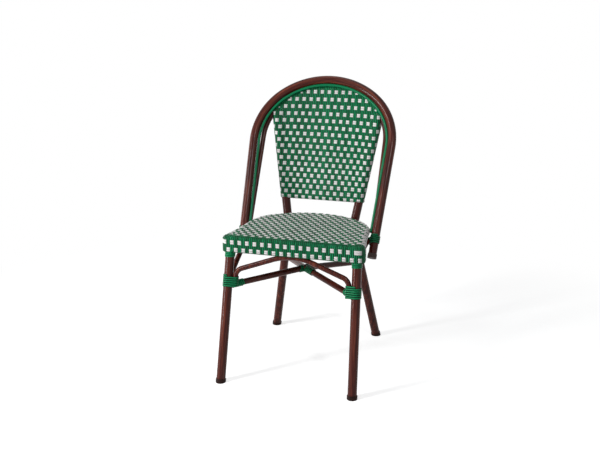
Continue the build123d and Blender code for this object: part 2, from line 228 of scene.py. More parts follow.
# %% From arrays to a mesh
def grid_faces(strands, steps, around):
    """Quads joining neighbouring outlines, and the two end faces of every strand."""
    index = np.arange(strands * steps * around).reshape(strands, steps, around)
    here, ahead = index[:, :-1], index[:, 1:]
    quads = np.stack([here, np.roll(here, -1, 2), np.roll(ahead, -1, 2), ahead], -1)
    ends = np.concatenate([index[:, 0, ::-1], index[:, -1]])
    return quads.reshape(-1, 4), ends


def put_mesh(name, points, quads, ends, across, along, tone, material):
    """Writes vertices, faces, the UV map (across, along in mm) and a tone for each strand."""
    mesh = bpy.data.meshes.new(name)
    mesh.vertices.add(len(points))
    mesh.vertices.foreach_set("co", (points * MM).astype(np.float32).ravel())
    corners = np.concatenate([quads.ravel(), ends.ravel()]).astype(np.int32)
    mesh.loops.add(len(corners))
    mesh.loops.foreach_set("vertex_index", corners)
    mesh.polygons.add(len(quads) + len(ends))
    quad_starts = np.arange(len(quads)) * 4
    end_starts = len(quads) * 4 + np.arange(len(ends)) * ends.shape[1]
    starts = np.concatenate([quad_starts, end_starts]).astype(np.int32)
    mesh.polygons.foreach_set("loop_start", starts)
    mesh.update(calc_edges=True)
    mesh.polygons.foreach_set("use_smooth", np.ones(len(mesh.polygons), dtype=bool))
    uv = mesh.uv_layers.new(name="strand")
    places = np.stack([across[corners], along[corners]], -1)
    uv.data.foreach_set("uv", places.astype(np.float32).ravel())
    shade = mesh.attributes.new("tone", "FLOAT", "POINT")
    shade.data.foreach_set("value", tone.astype(np.float32))
    mesh.materials.append(material)
    piece = new_object(name, mesh)
    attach(piece, "root")
    triangles = len(quads) * 2 + len(ends) * (ends.shape[1] - 2)
    print(name, len(points), "points", triangles, "triangles")
    return piece


def unit(v):
    """Vectors scaled to length one."""
    return v / np.maximum(np.linalg.norm(v, axis=-1, keepdims=True), 1e-9)


# %% [markdown]
# ## A flat strand
# The strand is a flat extruded ribbon with rounded edges. Its outline is a squashed
# superellipse. It is carried along a centre line, standing on the line's normal: across is
# normal x direction, so the ribbon always lies flat on what it is woven over.

# %% Strands along paths
rng = np.random.default_rng(11)


def strands(name, centre, normal, width, thick, material, around=8, flat=0.45, edge=0.8):
    """Centre lines (strand, step, 3) and normals become ribbons: centre + a*across + b*normal.

    a = width/2 * |cos|^flat, b = thick/2 * |sin|^edge, each with the sign of its cosine or sine.
    """
    centre = np.asarray(centre, float)
    ahead = unit(np.gradient(centre, axis=1))
    normal = unit(normal - ahead * np.sum(normal * ahead, -1, keepdims=True))
    side = np.cross(normal, ahead)
    turn = 2 * math.pi * (np.arange(around) + 0.5) / around
    a = np.sign(np.cos(turn)) * np.abs(np.cos(turn)) ** flat
    a = a / abs(math.cos(math.pi / around)) ** flat
    b = np.sign(np.sin(turn)) * np.abs(np.sin(turn)) ** edge
    width = np.broadcast_to(np.asarray(width, float), centre.shape[:2])[..., None]
    reach = width / 2 * a
    points = centre[:, :, None] + reach[..., None] * side[:, :, None]
    points = points + (thick / 2 * b)[:, None] * normal[:, :, None]
    count, steps = centre.shape[:2]
    gaps = np.linalg.norm(np.diff(centre, axis=1), axis=-1)
    length = np.concatenate([np.zeros((count, 1)), np.cumsum(gaps, 1)], 1)
    start = rng.uniform(0, 500, (count, 1))
    along = np.repeat((length + start)[..., None], around, 2)
    tone = np.repeat(np.repeat(rng.uniform(-1, 1, (count, 1, 1)), steps, 1), around, 2)
    quads, ends = grid_faces(count, steps, around)
    parts = (part.ravel() for part in (reach, along, tone))
    return put_mesh(name, points.reshape(-1, 3), quads, ends, *parts, material)


# %% [markdown]
# ## The floor
# The floor is a white disc. Close to the chair it is an ordinary matt white that takes the soft
# shadow, lifted a little for the eye alone, and towards its rim it turns into the same white as
# the air behind, so that no horizon shows.


# %% The floor disc
FLOOR_REACH, FLOOR_CORNERS, FLOOR_FADE, FLOOR_LIFT = 3.0, 96, 0.7, 0.7
turn = np.linspace(0, 2 * math.pi, FLOOR_CORNERS + 1)[:-1]
rim = np.stack([FLOOR_REACH * np.cos(turn), FLOOR_REACH * np.sin(turn), 0 * turn], -1)
disc = bpy.data.meshes.new("floor")
disc.from_pydata(rim.tolist(), [], [list(range(FLOOR_CORNERS))])
floor = new_object("floor", disc)
floor_white = bpy.data.materials.new("floor_white")
ground = node_tree(floor_white)
where = add_node(ground, "TexCoord")
away = add_node(ground, "VectorMath", {0: where.outputs["Object"]}, operation="LENGTH")
away = away.outputs["Value"]
fade = remap(ground, away, 0.0, 1.0, FLOOR_FADE, 2.2 * FLOOR_FADE, "SMOOTHSTEP")
by_eye = seen_by_eye(ground)
matt = add_node(ground, "BsdfDiffuse", {"Color": (0.8, 0.8, 0.8, 1)})
lifted_by = times(ground, by_eye, FLOOR_LIFT)
lift = add_node(ground, "Emission", {"Strength": lifted_by})
near = add_node(ground, "AddShader", {0: matt.outputs[0], 1: lift.outputs[0]})
glow = add_node(ground, "Emission", {"Strength": 1.0})
faded = times(ground, fade, by_eye)
shown = {0: faded, 1: near.outputs[0], 2: glow.outputs[0]}
far = add_node(ground, "MixShader", shown)
add_node(ground, "OutputMaterial", {"Surface": far.outputs[0]})
disc.materials.append(floor_white)
print("floor disc, radius", FLOOR_REACH)


# %% [markdown]
# ## Painted tube
# The aluminium tube is painted to look like stained cane: a dark reddish brown wiped along the
# tube, so that fine darker and lighter streaks run lengthwise under a satin coat. A streak is
# noise that is squeezed across the tube and stretched along it. Each tube is a few straight
# stretches. Each stretch turns the object's coordinates until Z runs along it, and a plane
# through every bend should decide which stretch a point belongs to.
#
# One fault is known and left in. On a tube with a bend the turned coordinates reach the wrong
# sockets of the mix: before the last bend every point takes the last stretch's direction, and
# past it the paint has no streaks.


# %% Streaked paint
STAIN = (
    (0.34, (0.013, 0.0020, 0.0014)),
    (0.5, (0.066, 0.0095, 0.0060)),
    (0.68, (0.190, 0.045, 0.024)),
)
TUBE_COAT = {
    "Specular IOR Level": 0.05,
    "Coat Weight": 0.5,
    "Coat Roughness": 0.13,
    "Coat IOR": 1.33,
}
# how far a streak's noise is squeezed across the tube and stretched along it, in metres
ACROSS, ALONG = 0.0026, 0.07


def streaked(tree, shader, along_tube):
    """Colour, roughness and a faint relief from noise read at along_tube."""
    fine = noise(tree, along_tube, 1.0, 4.0, 0.6)
    inputs = {0: along_tube, 1: (0.28, 0.28, 0.3)}
    wide = add_node(tree, "VectorMath", inputs, operation="MULTIPLY").outputs[0]
    broad = noise(tree, wide, 1.0, 2.0)
    stain = plus(tree, times(tree, fine, 0.55), times(tree, broad, 0.45))
    look = {
        "Base Color": colour_ramp(tree, stain, *STAIN),
        "Roughness": remap(tree, fine, 0.26, 0.46),
        "Normal": relief(tree, fine, 0.1, 0.0002),
    }
    feed(shader, look)


def tube_paint(name, corners):
    """Paint for a tube that runs through the given corners, in millimetres."""
    corners = [np.asarray(c, float) * MM for c in corners]
    material, tree, shader = new_material(name, TUBE_COAT)
    here = add_node(tree, "TexCoord").outputs["Object"]
    chosen = None
    for first, second in zip(corners, corners[1:]):
        run = mathutils.Vector(second - first).normalized()
        inputs = {"Vector": here, "Location": first, "Scale": (ACROSS, ACROSS, ALONG)}
        inputs["Rotation"] = run.to_track_quat("Z", "Y").to_euler()
        turned = add_node(tree, "Mapping", inputs, vector_type="TEXTURE")
        if chosen is None:
            chosen, came = turned.outputs[0], run
            continue
        plane = (came + run).normalized()
        vector = "VectorMath"
        from_bend = add_node(tree, vector, {0: here, 1: first}, operation="SUBTRACT").outputs[0]
        past = add_node(tree, vector, {0: from_bend, 1: plane}, operation="DOT_PRODUCT")
        after = math_node(tree, "GREATER_THAN", past.outputs["Value"], 0.0)
        pick = add_node(tree, "Mix", {"Factor": after}, data_type="VECTOR")
        # the first VECTOR socket is the unused vector factor; A and B are the enabled ones
        vector_in = [i for i in pick.inputs if i.type == "VECTOR"]
        tree.links.new(chosen, vector_in[0])
        tree.links.new(turned.outputs[0], vector_in[1])
        chosen = [o for o in pick.outputs if o.type == "VECTOR"][0]
        came = run
    streaked(tree, shader, chosen)
    return material


# %% [markdown]
# The hoops are round, so their streaks have to bend with them. Seen in the leaning plane of a
# hoop, the distance from the middle of its arch says how far across the tube a point lies, and
# the angle says how far along. Below the spring of the arch the legs are straight, and there the
# plain distance from the chair's centre plane does the same.

# %% Paint that follows a hoop
LEAN = math.radians(30.5)
LEAN_SIN, LEAN_COS = math.sin(LEAN), math.cos(LEAN)
LEAN_DEPTH, LEAN_Z = 274.5, 450.0
# a hoop in that plane: spring of its side arc, half width, bend of the side arc, top
OUTER_LINE = (272.0, 229.2, 203.0, 483.97)
INNER_LINE = (283.8, 203.7, 172.0, 469.17)
OUTER_RISE, INNER_RISE = 212.0, 185.4
INNER_SET = 20.0


def hoop_paint(name, setback, spring, half_width, rise):
    """Paint for a hoop of the leaning plane: polar above the spring, straight below it."""
    material, tree, shader = new_material(name, TUBE_COAT)
    here = add_node(tree, "TexCoord").outputs["Object"]
    depth = LEAN_DEPTH + setback * LEAN_COS
    origin = [c * MM for c in (0, depth + FRONT, LEAN_Z - setback * LEAN_SIN)]
    inputs = {"Vector": here, "Location": origin, "Rotation": (math.pi / 2 - LEAN, 0, 0)}
    flat = add_node(tree, "Mapping", inputs, vector_type="TEXTURE")
    x, up, off = add_node(tree, "SeparateXYZ", {0: flat.outputs[0]}).outputs
    x = math_node(tree, "ABSOLUTE", x)
    above = math_node(tree, "MAXIMUM", math_node(tree, "SUBTRACT", up, spring * MM), 0.0)
    above = times(tree, above, half_width / rise)
    below = math_node(tree, "MINIMUM", up, spring * MM)
    square = times(tree, x, x)
    square = plus(tree, square, times(tree, above, above))
    radius = math_node(tree, "SQRT", square)
    angle = math_node(tree, "ARCTAN2", above, x)
    run = plus(tree, below, times(tree, angle, half_width * MM))
    scales = ((radius, ACROSS), (off, ACROSS), (run, ALONG))
    parts = [times(tree, part, 1 / scale) for part, scale in scales]
    along_tube = add_node(tree, "CombineXYZ", enumerate(parts))
    streaked(tree, shader, along_tube.outputs[0])
    return material


# %% Corners of the tubes
def spot(x, depth, z):
    """A point in the frame, given by its depth behind the front feet, in millimetres."""
    return np.array([x, depth + FRONT, z], float)


def on_line(start, end, z):
    """The point at height z on the line through start and end."""
    return start + (end - start) * (z - start[2]) / (end[2] - start[2])


def on_leg(z):
    """The point at height z on the right front leg."""
    return on_line(FRONT_FOOT, FRONT_TOP, z)


def other_side(point):
    """The mirror image of a point on the other side of the chair."""
    return point * np.array([-1.0, 1.0, 1.0])


FRONT_FOOT, FRONT_TOP = spot(206, 0, 0), spot(195.3, LEG_TOP_DEPTH, LEG_TOP_Z)
BACK_RAIL_Z, STAY_END_Z = 493.7, 770.0
REAR_FOOT, WAIST = spot(179.5, 490, 0), spot(109, 407, 396)
STAY_TOP = spot(172.1, 486.2, STAY_END_Z)
CROSSING = spot(0, 218.5, 316.5)
STRETCH_FRONT = on_leg(292.5)
STRETCH_REAR = on_line(REAR_FOOT, WAIST, 280)
BOW_STEP = np.array([22.2, 0, 0])
BOW_END = on_leg(306) - BOW_STEP
BOW_CORNER = on_leg(340.5) - BOW_STEP
BOW_TOP = on_leg(391.0) * np.array([0, 1, 1])
JOINT = on_leg(307)
KNEE, TURN, SIDE_END = spot(186.5, 181, 393), spot(189, 252, 407), spot(203.7, 275.4, 412)


def dress(node, material):
    """Gives a node of the frame its material in every slot."""
    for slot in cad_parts[node].material_slots:
        slot.material = material


# %% Paint on every tube
SIDES = (("right", lambda p: p), ("left", other_side))
for side, turned in SIDES:
    runs = {
        "front_leg": [FRONT_FOOT, FRONT_TOP],
        "rear_leg": [REAR_FOOT, WAIST, STAY_TOP],
        "side_brace": [JOINT, KNEE, TURN, SIDE_END],
        "hoop_spacer": [spot(172, 291, RING_Z), spot(203.7, 291, RING_Z)],
    }
    for node, corners in runs.items():
        paint = tube_paint(f"paint_{node}_{side}", [turned(corner) for corner in corners])
        dress(f"{node}_{side}", paint)
level_paint = tube_paint("paint_level_tubes", [spot(-120, 0, 0), spot(120, 0, 0)])
for node in ("apron_lower_rail", "back_lower_rail", "rear_cross_rail", "seat_frame_ring"):
    dress(node, level_paint)
runs = {
    "bow_brace": [other_side(BOW_END), other_side(BOW_CORNER), BOW_TOP, BOW_CORNER, BOW_END],
    "lower_stretcher_long": [other_side(STRETCH_FRONT), CROSSING, STRETCH_REAR],
    "lower_stretcher_front_half": [CROSSING, STRETCH_FRONT],
    "lower_stretcher_rear_half": [CROSSING, other_side(STRETCH_REAR)],
}
for node, corners in runs.items():
    dress(node, tube_paint(f"paint_{node}", corners))
dress("outer_hoop", hoop_paint("paint_outer_hoop", 0, *OUTER_LINE[:2], OUTER_RISE))
dress("inner_hoop", hoop_paint("paint_inner_hoop", INNER_SET, *INNER_LINE[:2], INNER_RISE))
paints = [material for material in bpy.data.materials if material.name.startswith("paint_")]
print("painted", len(paints), "kinds of run")


# %% [markdown]
# ## Strand plastic and rubber
# The strands are extruded polyethylene, deep green or off-white. Extrusion leaves fine grooves
# along a strand, and no two lengths are quite the same tone. Grooves are a wave across the strand,
# read from its own UV map in millimetres, and the tone is an attribute that each strand carries.
# The caps on the feet and the plugs in the hoops are dark brown rubber with a fine pitted skin.


# %% Plastic of the strands
GROOVE_PITCH = 1.3


def strand_plastic(name, pale, deep, roughness, edge_shade, unshaded_reach, crown):
    """Pale to deep by the strand's tone, by slow noise along it and by the groove across it.

    Past a given distance from the middle, in millimetres, the edges are darkened by a given share:
    painted shade for the shadow between neighbouring strands. The face is crowned: its height
    falls by crown * across^2.
    """
    material, tree, shader = new_material(name, {"Specular IOR Level": 0.14})
    uv = add_node(tree, "UVMap", uv_map="strand").outputs["UV"]
    across, along, _ = add_node(tree, "SeparateXYZ", {0: uv}).outputs
    groove = times(tree, across, 2 * math.pi / GROOVE_PITCH)
    groove = math_node(tree, "MULTIPLY_ADD", math_node(tree, "SINE", groove), 0.5, 0.5)
    drawn = {0: times(tree, across, 0.9), 1: times(tree, along, 0.045)}
    slow = noise(tree, add_node(tree, "CombineXYZ", drawn).outputs[0], 1.0, 3.0)
    tone = add_node(tree, "Attribute", attribute_name="tone").outputs["Fac"]
    mix = math_node(tree, "MULTIPLY_ADD", tone, 0.22, 0.12)
    mix = plus(tree, mix, times(tree, slow, 0.6))
    mix = plus(tree, mix, times(tree, groove, 0.16))
    colour = colour_ramp(tree, mix, (0.1, deep), (0.9, pale))
    off_middle = math_node(tree, "ABSOLUTE", across)
    # painted shade: the strand's edges are darkened where shadow falls between neighbouring
    # strands
    edge_shade_factor = remap(tree, off_middle, 1.0, 1.0 - edge_shade, unshaded_reach, unshaded_reach + 1.0, "SMOOTHSTEP")
    edge_shaded = add_node(tree, "VectorMath", {0: colour, "Scale": edge_shade_factor}, operation="SCALE")
    crowned = times(tree, times(tree, across, across), -crown)
    look = {
        "Base Color": edge_shaded.outputs[0],
        "Roughness": remap(tree, slow, roughness - 0.08, roughness + 0.1),
        "Normal": relief(tree, plus(tree, crowned, times(tree, groove, 0.05)), 1.0, MM),
    }
    feed(shader, look)
    return material


# pale, deep, roughness, darkening of the edges by painted shade, the distance from the middle
# where it starts, and crown of each
PLASTICS = {
    "green_strand": ((0.005, 0.285, 0.107), (0.0015, 0.080, 0.028), 0.34, 0.95, 1.5, 0.12),
    # painted shade: a darker copy of the green strand for the front border, which lies in shade
    "border_strand": ((0.004, 0.190, 0.070), (0.0015, 0.070, 0.025), 0.34, 0.95, 1.3, 0.12),
    "white_strand": ((0.88, 0.87, 0.86), (0.75, 0.72, 0.71), 0.45, 0.25, 2.3, 0.03),
    "cord_green": ((0.004, 0.230, 0.090), (0.002, 0.13, 0.050), 0.24, 0.0, 4.0, 0.0),
}
plastics = [strand_plastic(name, *look) for name, look in PLASTICS.items()]
green_strand, border_strand, white_strand, cord_green = plastics
print("strand plastics:", *PLASTICS)


# %% Rubber of the caps
def rubber_skin(name, dark, pale):
    """Rubber: scuffed between two browns, with fine pits in its skin."""
    rubber, tree, shader = new_material(name, {"Roughness": 0.5, "Specular IOR Level": 0.1})
    here = add_node(tree, "TexCoord").outputs["Object"]
    scuff, pits = noise(tree, here, 60.0, 4.0), noise(tree, here, 900.0, 3.0)
    tone = colour_ramp(tree, scuff, (0.0, dark), (1.0, pale))
    feed(shader, {"Base Color": tone, "Normal": relief(tree, pits, 0.3, 0.0002)})
    return rubber


cap_rubber = rubber_skin("cap_rubber", (0.010, 0.0045, 0.0035), (0.036, 0.016, 0.012))
plug_rubber = rubber_skin("plug_rubber", (0.045, 0.030, 0.026), (0.120, 0.085, 0.075))
rubbers = {"front_foot_cap": cap_rubber, "rear_foot_cap": cap_rubber, "hoop_end_plug": plug_rubber}
for side, _ in SIDES:
    for node, rubber in rubbers.items():
        dress(f"{node}_{side}", rubber)
print(len(SIDES) * len(rubbers), "rubber caps and plugs")


# %% [markdown]
# ## The seat ring in plan
# Every woven strand of the seat ends on the ring, so the ring's plan comes first. Its right half
# is four arcs, each tangent to the last: a tight front corner, a very flat flank that draws in
# towards the rear, a hip and the wide rear bend.


# %% Plan of the seat ring
def arc(start, heading, radius, turned, steps):
    """Points and headings of an arc: start + hand * radius * (first leftward - leftward)."""
    hand = math.copysign(1.0, turned)
    heading = heading + np.linspace(0, turned, steps)
    leftward = np.stack([-np.sin(heading), np.cos(heading)], -1)
    return start + hand * radius * (leftward[0] - leftward), heading


# the front corner's middle and radius, then (radius, degrees) of corner, flank and hip
CORNER_X, CORNER_D, CORNER_R = 177.7, 106.0, 26.0
RING_ARCS = ((CORNER_R, 101.2), (1270.0, -6.6), (124.0, 41.4))
RING_FRONT = CORNER_D - CORNER_R
ring, heads = [np.array([[0.0, RING_FRONT]])], [np.array([0.0])]
here, ahead = np.array([CORNER_X, RING_FRONT]), 0.0
for radius, degrees in RING_ARCS:
    points, headings = arc(here, ahead, radius, math.radians(degrees), 60)
    ring.append(points)
    heads.append(headings)
    here, ahead = points[-1], headings[-1]
points, headings = arc(here, ahead, here[0] / math.sin(ahead), math.pi - ahead, 120)
ring, heads = np.concatenate([*ring, points]), np.concatenate([*heads, headings])
widest = int(np.argmax(ring[:, 0]))
print("seat ring: half width", round(ring[widest, 0], 1), "rear at depth", round(ring[-1, 1], 1))


def half_width(depth):
    """Half the ring's width at a depth, and the cosine of its outward normal with X."""
    return np.interp(depth, ring[:, 1], ring[:, 0]), np.interp(depth, ring[:, 1], np.sin(heads))


def rear_depth(x):
    """Depth of the ring's rear half at a distance x, and the cosine of its normal with depth."""
    line, head = ring[widest:][::-1], heads[widest:][::-1]
    return np.interp(x, line[:, 0], line[:, 1]), np.interp(x, line[:, 0], -np.cos(head))


# %% [markdown]
# ## How the weave goes over and under
# The seat is a plain weave of bundles. Green strands in pairs run from front to back, one pair in
# each column, 11.9 mm wide. Across them run sheds, each of two white strands. A shed
# passes over every second column and under the rest, and the next shed does the opposite, so the
# whites show as a chequer. A strand's height is RISE times a sine that eases from +1 where it is
# on top to -1 where it is beneath, and the table `over` says which is which.

# %% Columns and sheds of the seat
COLUMN, FIRST, SHEDS = 11.89, 4.7, 19
columns = np.arange(-19, 19)
seat_sheds = 90.0 + 16.4 * np.arange(SHEDS)
# radius of a strand's middle round the ring and round the skirt's lower rail
SLACK = 0.4
WRAP, HEM_WRAP = RING + SLACK + STRAND, BRACE + SLACK + STRAND
# distances s along the front: end of the ring's quarter turn, rail, and the rows' two heights
QUARTER = WRAP * math.pi / 2
FALL = QUARTER + RING_Z - RAIL_Z
ROW_ONE, ROW_TWO = (QUARTER + RING_Z - height for height in (428.0, 404.8))


def ease(up):
    """A height from +1 to -1 with flat tops: sine of a clipped, steepened ramp."""
    return RISE * np.sin(math.pi / 2 * np.clip(1.6 * up, -1, 1))


def chequer(shed, column):
    """+1 where the shed is over the column, -1 where it is under."""
    return np.where((shed + column) % 2 == 1, 1.0, -1.0)


seat_over = chequer(np.arange(SHEDS)[:, None], columns[None])
# the skirt's two rows leave the chequer at its side ends
row_one_over, row_two_over = chequer(1, columns), chequer(0, columns)
row_one_over[np.isin(columns, (-19, 17))] = 1.0
row_one_over[columns == 18] = -1.0
row_two_over[np.isin(columns, (-19, 18))] = -1.0
print(len(columns), "columns and", len(seat_sheds), "sheds in the seat")


# %% [markdown]
# ## The surface of the front
# The front of the seat is one surface that the strands lie on. It is given by q, the distance
# sideways along it, and s, the distance forward and down from the top of the ring. It rounds the
# ring in a quarter turn, drops to the lower rail and rounds that too. At its sides it turns
# round the ring's corner at the top and round the leg below, and fades from one to the other.


# %% Front surface
# the weave stands PROUD in front of the ring's line; the skirt's face, side and turn round the leg
PROUD, SKIRT_FACE, SKIRT_SIDE, SKIRT_TURN = 1.5, 68.5, 198.0, 23.0
# where the ring's plan starts to fade into the skirt's, and half the lower rail's straight length
FADE_FROM, RAIL_HALF = 3.0, 184


def smooth(t):
    """Eases from 0 to 1: t * t * (3 - 2 t) with t kept between 0 and 1."""
    t = np.clip(t, 0, 1)
    return t * t * (3 - 2 * t)


def front_surface(q, s):
    """Points and outward normals at sideways distance q and forward distance s."""
    q, s = np.broadcast_arrays(q, s)
    hand, q = np.sign(q + 1e-9), np.abs(q)
    round_ring = np.clip(q - CORNER_X, 0, None) / (CORNER_R + WRAP)
    out = np.stack([np.sin(round_ring), -np.cos(round_ring)], -1)
    line = np.stack([np.minimum(q, CORNER_X), np.full_like(q, CORNER_D)], -1)
    line = line + (CORNER_R + PROUD) * out
    over_ring = np.clip(s, 0, QUARTER) / WRAP
    reach = np.where(s < 0, s, WRAP * np.sin(over_ring))
    plan = line + reach[..., None] * out
    round_leg = np.clip((q - SKIRT_SIDE) / SKIRT_TURN, 0, math.pi / 2)
    side = np.stack([np.sin(round_leg), -np.cos(round_leg)], -1)
    face = np.full_like(q, SKIRT_FACE + SKIRT_TURN)
    leg_plan = np.stack([np.minimum(q, SKIRT_SIDE), face], -1)
    leg_plan = leg_plan + SKIRT_TURN * side
    leg_plan[..., 1] += np.clip(q - SKIRT_SIDE - SKIRT_TURN * math.pi / 2, 0, None)
    low = smooth((s - FADE_FROM) / (QUARTER - FADE_FROM))[..., None]
    plan = plan + low * (leg_plan - plan)
    out = unit(out + low * (side - out))
    z = np.where(s < QUARTER, RING_Z + WRAP * np.cos(over_ring), RING_Z + QUARTER - s)
    z = np.where(s < 0, RING_Z + WRAP, z)
    tip = np.where(s < QUARTER, over_ring, math.pi / 2)
    under = np.clip((s - FALL) / HEM_WRAP, 0, None)
    straight_rail = q < RAIL_HALF
    z = np.where(s > FALL, RAIL_Z - HEM_WRAP * np.sin(under), z)
    back = np.where((s > FALL) & straight_rail, HEM_WRAP * (1 - np.cos(under)), 0)
    tip = np.where((s > FALL) & straight_rail, math.pi / 2 + under, tip)
    plan = plan - back[..., None] * out
    points = np.stack([hand * plan[..., 0], plan[..., 1] + FRONT, z], -1)
    normals = np.stack(
        [hand * out[..., 0] * np.sin(tip), out[..., 1] * np.sin(tip), np.cos(tip)], -1
    )
    return points, normals


# %% [markdown]
# ## Strands from front to back
# A pair of green strands starts under the ring at the rear, comes over it, crosses the seat,
# rounds the front of the ring and drops to the lower rail, where it is tucked under. Three
# stretches of the same line are joined: rear wrap, flat top and the front surface.

# %% Green pairs of the seat
# half a pair's distance, a green strand's width, and how much wider it is where it lies on top
PAIR, GREEN, BULGE = 2.95, 5.95, 1.0
# past this stretch a wrap would run along the ring, so the strand ends on top of it
MOST_STRETCH, WRAP_TURN, END_TURN = 1.6, 3.6, 0.2
# the outermost strands start on the ring's side, this far out
SIDE_FROM = 200
# half a shed's flat top, and where its neighbour's begins
FLAT_TOP, FLAT_END = 4.2, 9.0


def seat_column(column, offset, steps=165):
    """Centre line, normals and heights of one strand of a pair."""
    q = FIRST + COLUMN * column + offset
    size = abs(q)
    hand = math.copysign(1.0, q)
    round_ring = max(size - CORNER_X, 0) / (CORNER_R + WRAP)
    start = CORNER_D - CORNER_R * math.cos(round_ring)
    line_x = min(size, CORNER_X) + CORNER_R * math.sin(round_ring)
    end, lean = rear_depth(size)
    length = end - start
    stretch = 1 / max(lean, 1e-3)
    wrap_turn = WRAP_TURN if stretch < MOST_STRETCH else END_TURN
    stretch = min(stretch, MOST_STRETCH)
    last = FALL + (HEM_WRAP * 3.3 if size < RAIL_HALF else 10.5)
    short = size > SIDE_FROM
    first = -2.0 if short else -length - WRAP * stretch * wrap_turn
    s = np.linspace(first, last, steps)
    points, normals = front_surface(q, s)
    if not short:
        behind = np.clip((-s - length) / (WRAP * stretch), 0, None)
        drawn = smooth(-s / 45)
        depth = start + np.minimum(-s, length) + WRAP * stretch * np.sin(behind)
        x = hand * (line_x + (size - line_x) * drawn)
        z = RING_Z + WRAP * np.cos(behind)
        top = np.stack([x, depth + FRONT, z], -1)
        facing = np.stack([0 * x, np.sin(behind), np.cos(behind)], -1)
        points = np.where((s < 0)[:, None], top, points)
        normals = np.where((s < 0)[:, None], facing, normals)
    where = column - columns[0]
    knots, over, wide = [-3.5, 2.0, 6.0], [1.0, 1.0, -1.0], [0.0, 0.0, 0.0]
    for centre, up in ((ROW_ONE, row_one_over[where]), (ROW_TWO, row_two_over[where])):
        knots += [centre + step for step in (-FLAT_END, -FLAT_TOP, FLAT_TOP, FLAT_END)]
        over += [-1.0, up, up, -1.0]
        wide += [0.0, up < 0, up < 0, 0.0]
    knots = [*-(seat_sheds[::-1] - start), *knots]
    sheds = seat_over[::-1, where]
    up = -np.interp(s, knots, [*sheds, *over])
    wide = np.interp(s, knots, [*(sheds < 0), *wide])
    return points, normals, ease(up), GREEN + BULGE * wide


def weave(name, lines, material, nodes, width=None):
    """One woven piece from lines of (points, normals, heights, and widths where they vary).

    A point is lifted along its normal by its height, and the piece stands for the given nodes.
    """
    points, normals, heights, *widths = (np.stack(part) for part in zip(*lines))
    width = widths[0] if widths else width
    points = points + heights[..., None] * normals
    piece = strands(name, points, normals, width, STRAND, material)
    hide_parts(*nodes)


def weave_pairs(name, lines, nodes):
    """The green pairs of a face, its left half and its right half as two pieces."""
    half = len(lines) // 2
    weave(f"{name}_left", lines[:half], green_strand, nodes)
    weave(f"{name}_right", lines[half:], green_strand, nodes)


def beneath(lines):
    """The same lines, lying under the weave over their whole length."""
    return [(points, normals, 0 * heights - RISE) for points, normals, heights in lines]


pairs = [seat_column(column, offset) for column in columns for offset in (-PAIR, PAIR)]
weave_pairs("seat_pairs", pairs, ["seat_weave", "apron_weave"])


# %% [markdown]
# ## Strands across the seat
# Each shed lies at one depth. Its strands run level over the seat, pass over and under the
# columns and are wrapped down round the ring at both sides. Where the ring runs slanting, the
# wrap is stretched sideways by one over the cosine of the slant, and where it runs nearly along
# the strand, the strand just ends on top of it. Hidden green binders lie under the weave between
# the sheds, here and on the skirt and the back, so that no light shows through.


# %% Sheds of the seat
def seat_shed(shed, offset, steps=180):
    """One strand of a shed: level to the ring's line, then round it by its own turn."""
    depth = seat_sheds[shed] + offset
    reach, slant = half_width(depth)
    stretch = 1 / max(slant, 1e-3)
    turned = float(np.interp(depth, [90, 100, 122], [0.5, 0.9, WRAP_TURN]))
    turned = turned if stretch < MOST_STRETCH else END_TURN
    stretch = min(stretch, MOST_STRETCH)
    most = reach + WRAP * stretch * turned
    along = np.linspace(-most, most, steps)
    hand, size = np.sign(along), np.abs(along)
    down = np.clip((size - reach) / (WRAP * stretch), 0, None)
    x = hand * (np.minimum(size, reach) + WRAP * stretch * np.sin(down))
    slack = 0.3 * np.sin(along / 37 + 2.1 * shed + offset)
    y = np.full(steps, depth + FRONT) + slack * (size < reach)
    points = np.stack([x, y, RING_Z + WRAP * np.cos(down)], -1)
    normals = np.stack([hand * np.sin(down), 0 * x, np.cos(down)], -1)
    over = np.interp((along - FIRST) / COLUMN, columns, seat_over[shed])
    return points, normals, ease(over)


WHITE, BINDER = 6.3, 3.6
whites = [seat_shed(shed, offset) for shed in range(SHEDS) for offset in (-3.25, 3.25)]
weave("seat_whites", whites, white_strand, ["seat_weave"], WHITE)
hidden = [seat_shed(shed, 8.2) for shed in range(1, SHEDS - 1)]
weave("seat_binders", beneath(hidden), green_strand, ["seat_weave"], BINDER)


# %% [markdown]
# ## Rows of the skirt
# On the rolled front edge two green strands lie over every column. Below them are two rows of the
# chequer, each of two white strands. They run along the front surface and turn round its corners
# to the side. Everywhere else the green columns lie on top.


# %% Rows of the skirt
def skirt_row(s, over, reach=233.0, steps=190):
    """One strand along the front surface at a fixed s."""
    q = np.linspace(-reach, reach, steps)
    points, normals = front_surface(q, s)
    index = (q - FIRST) / COLUMN
    return points, normals, ease(np.interp(index, [-20, *columns], [-1, *over]))


EDGE_GREEN, SKIRT_WHITE, BORDER_REACH = 4.4, 6.55, 219.0
everywhere = np.ones(len(columns))
border = [skirt_row(s, everywhere, reach=BORDER_REACH) for s in (-2.9, 1.7)]
# the front border's strands take the darker copy of the green strand: painted shade
weave("front_border", border, border_strand, ["seat_weave", "apron_weave"], EDGE_GREEN)
rows = ((ROW_ONE, row_one_over), (ROW_TWO, row_two_over))
whites = [skirt_row(s + step, over) for s, over in rows for step in (-3.3, 3.3)]
weave("skirt_whites", whites, white_strand, ["apron_weave"], SKIRT_WHITE)
hidden = [skirt_row((ROW_ONE + ROW_TWO) / 2 + step, everywhere) for step in (-2.4, 2.4)]
weave("skirt_binders", beneath(hidden), green_strand, ["apron_weave"], EDGE_GREEN)


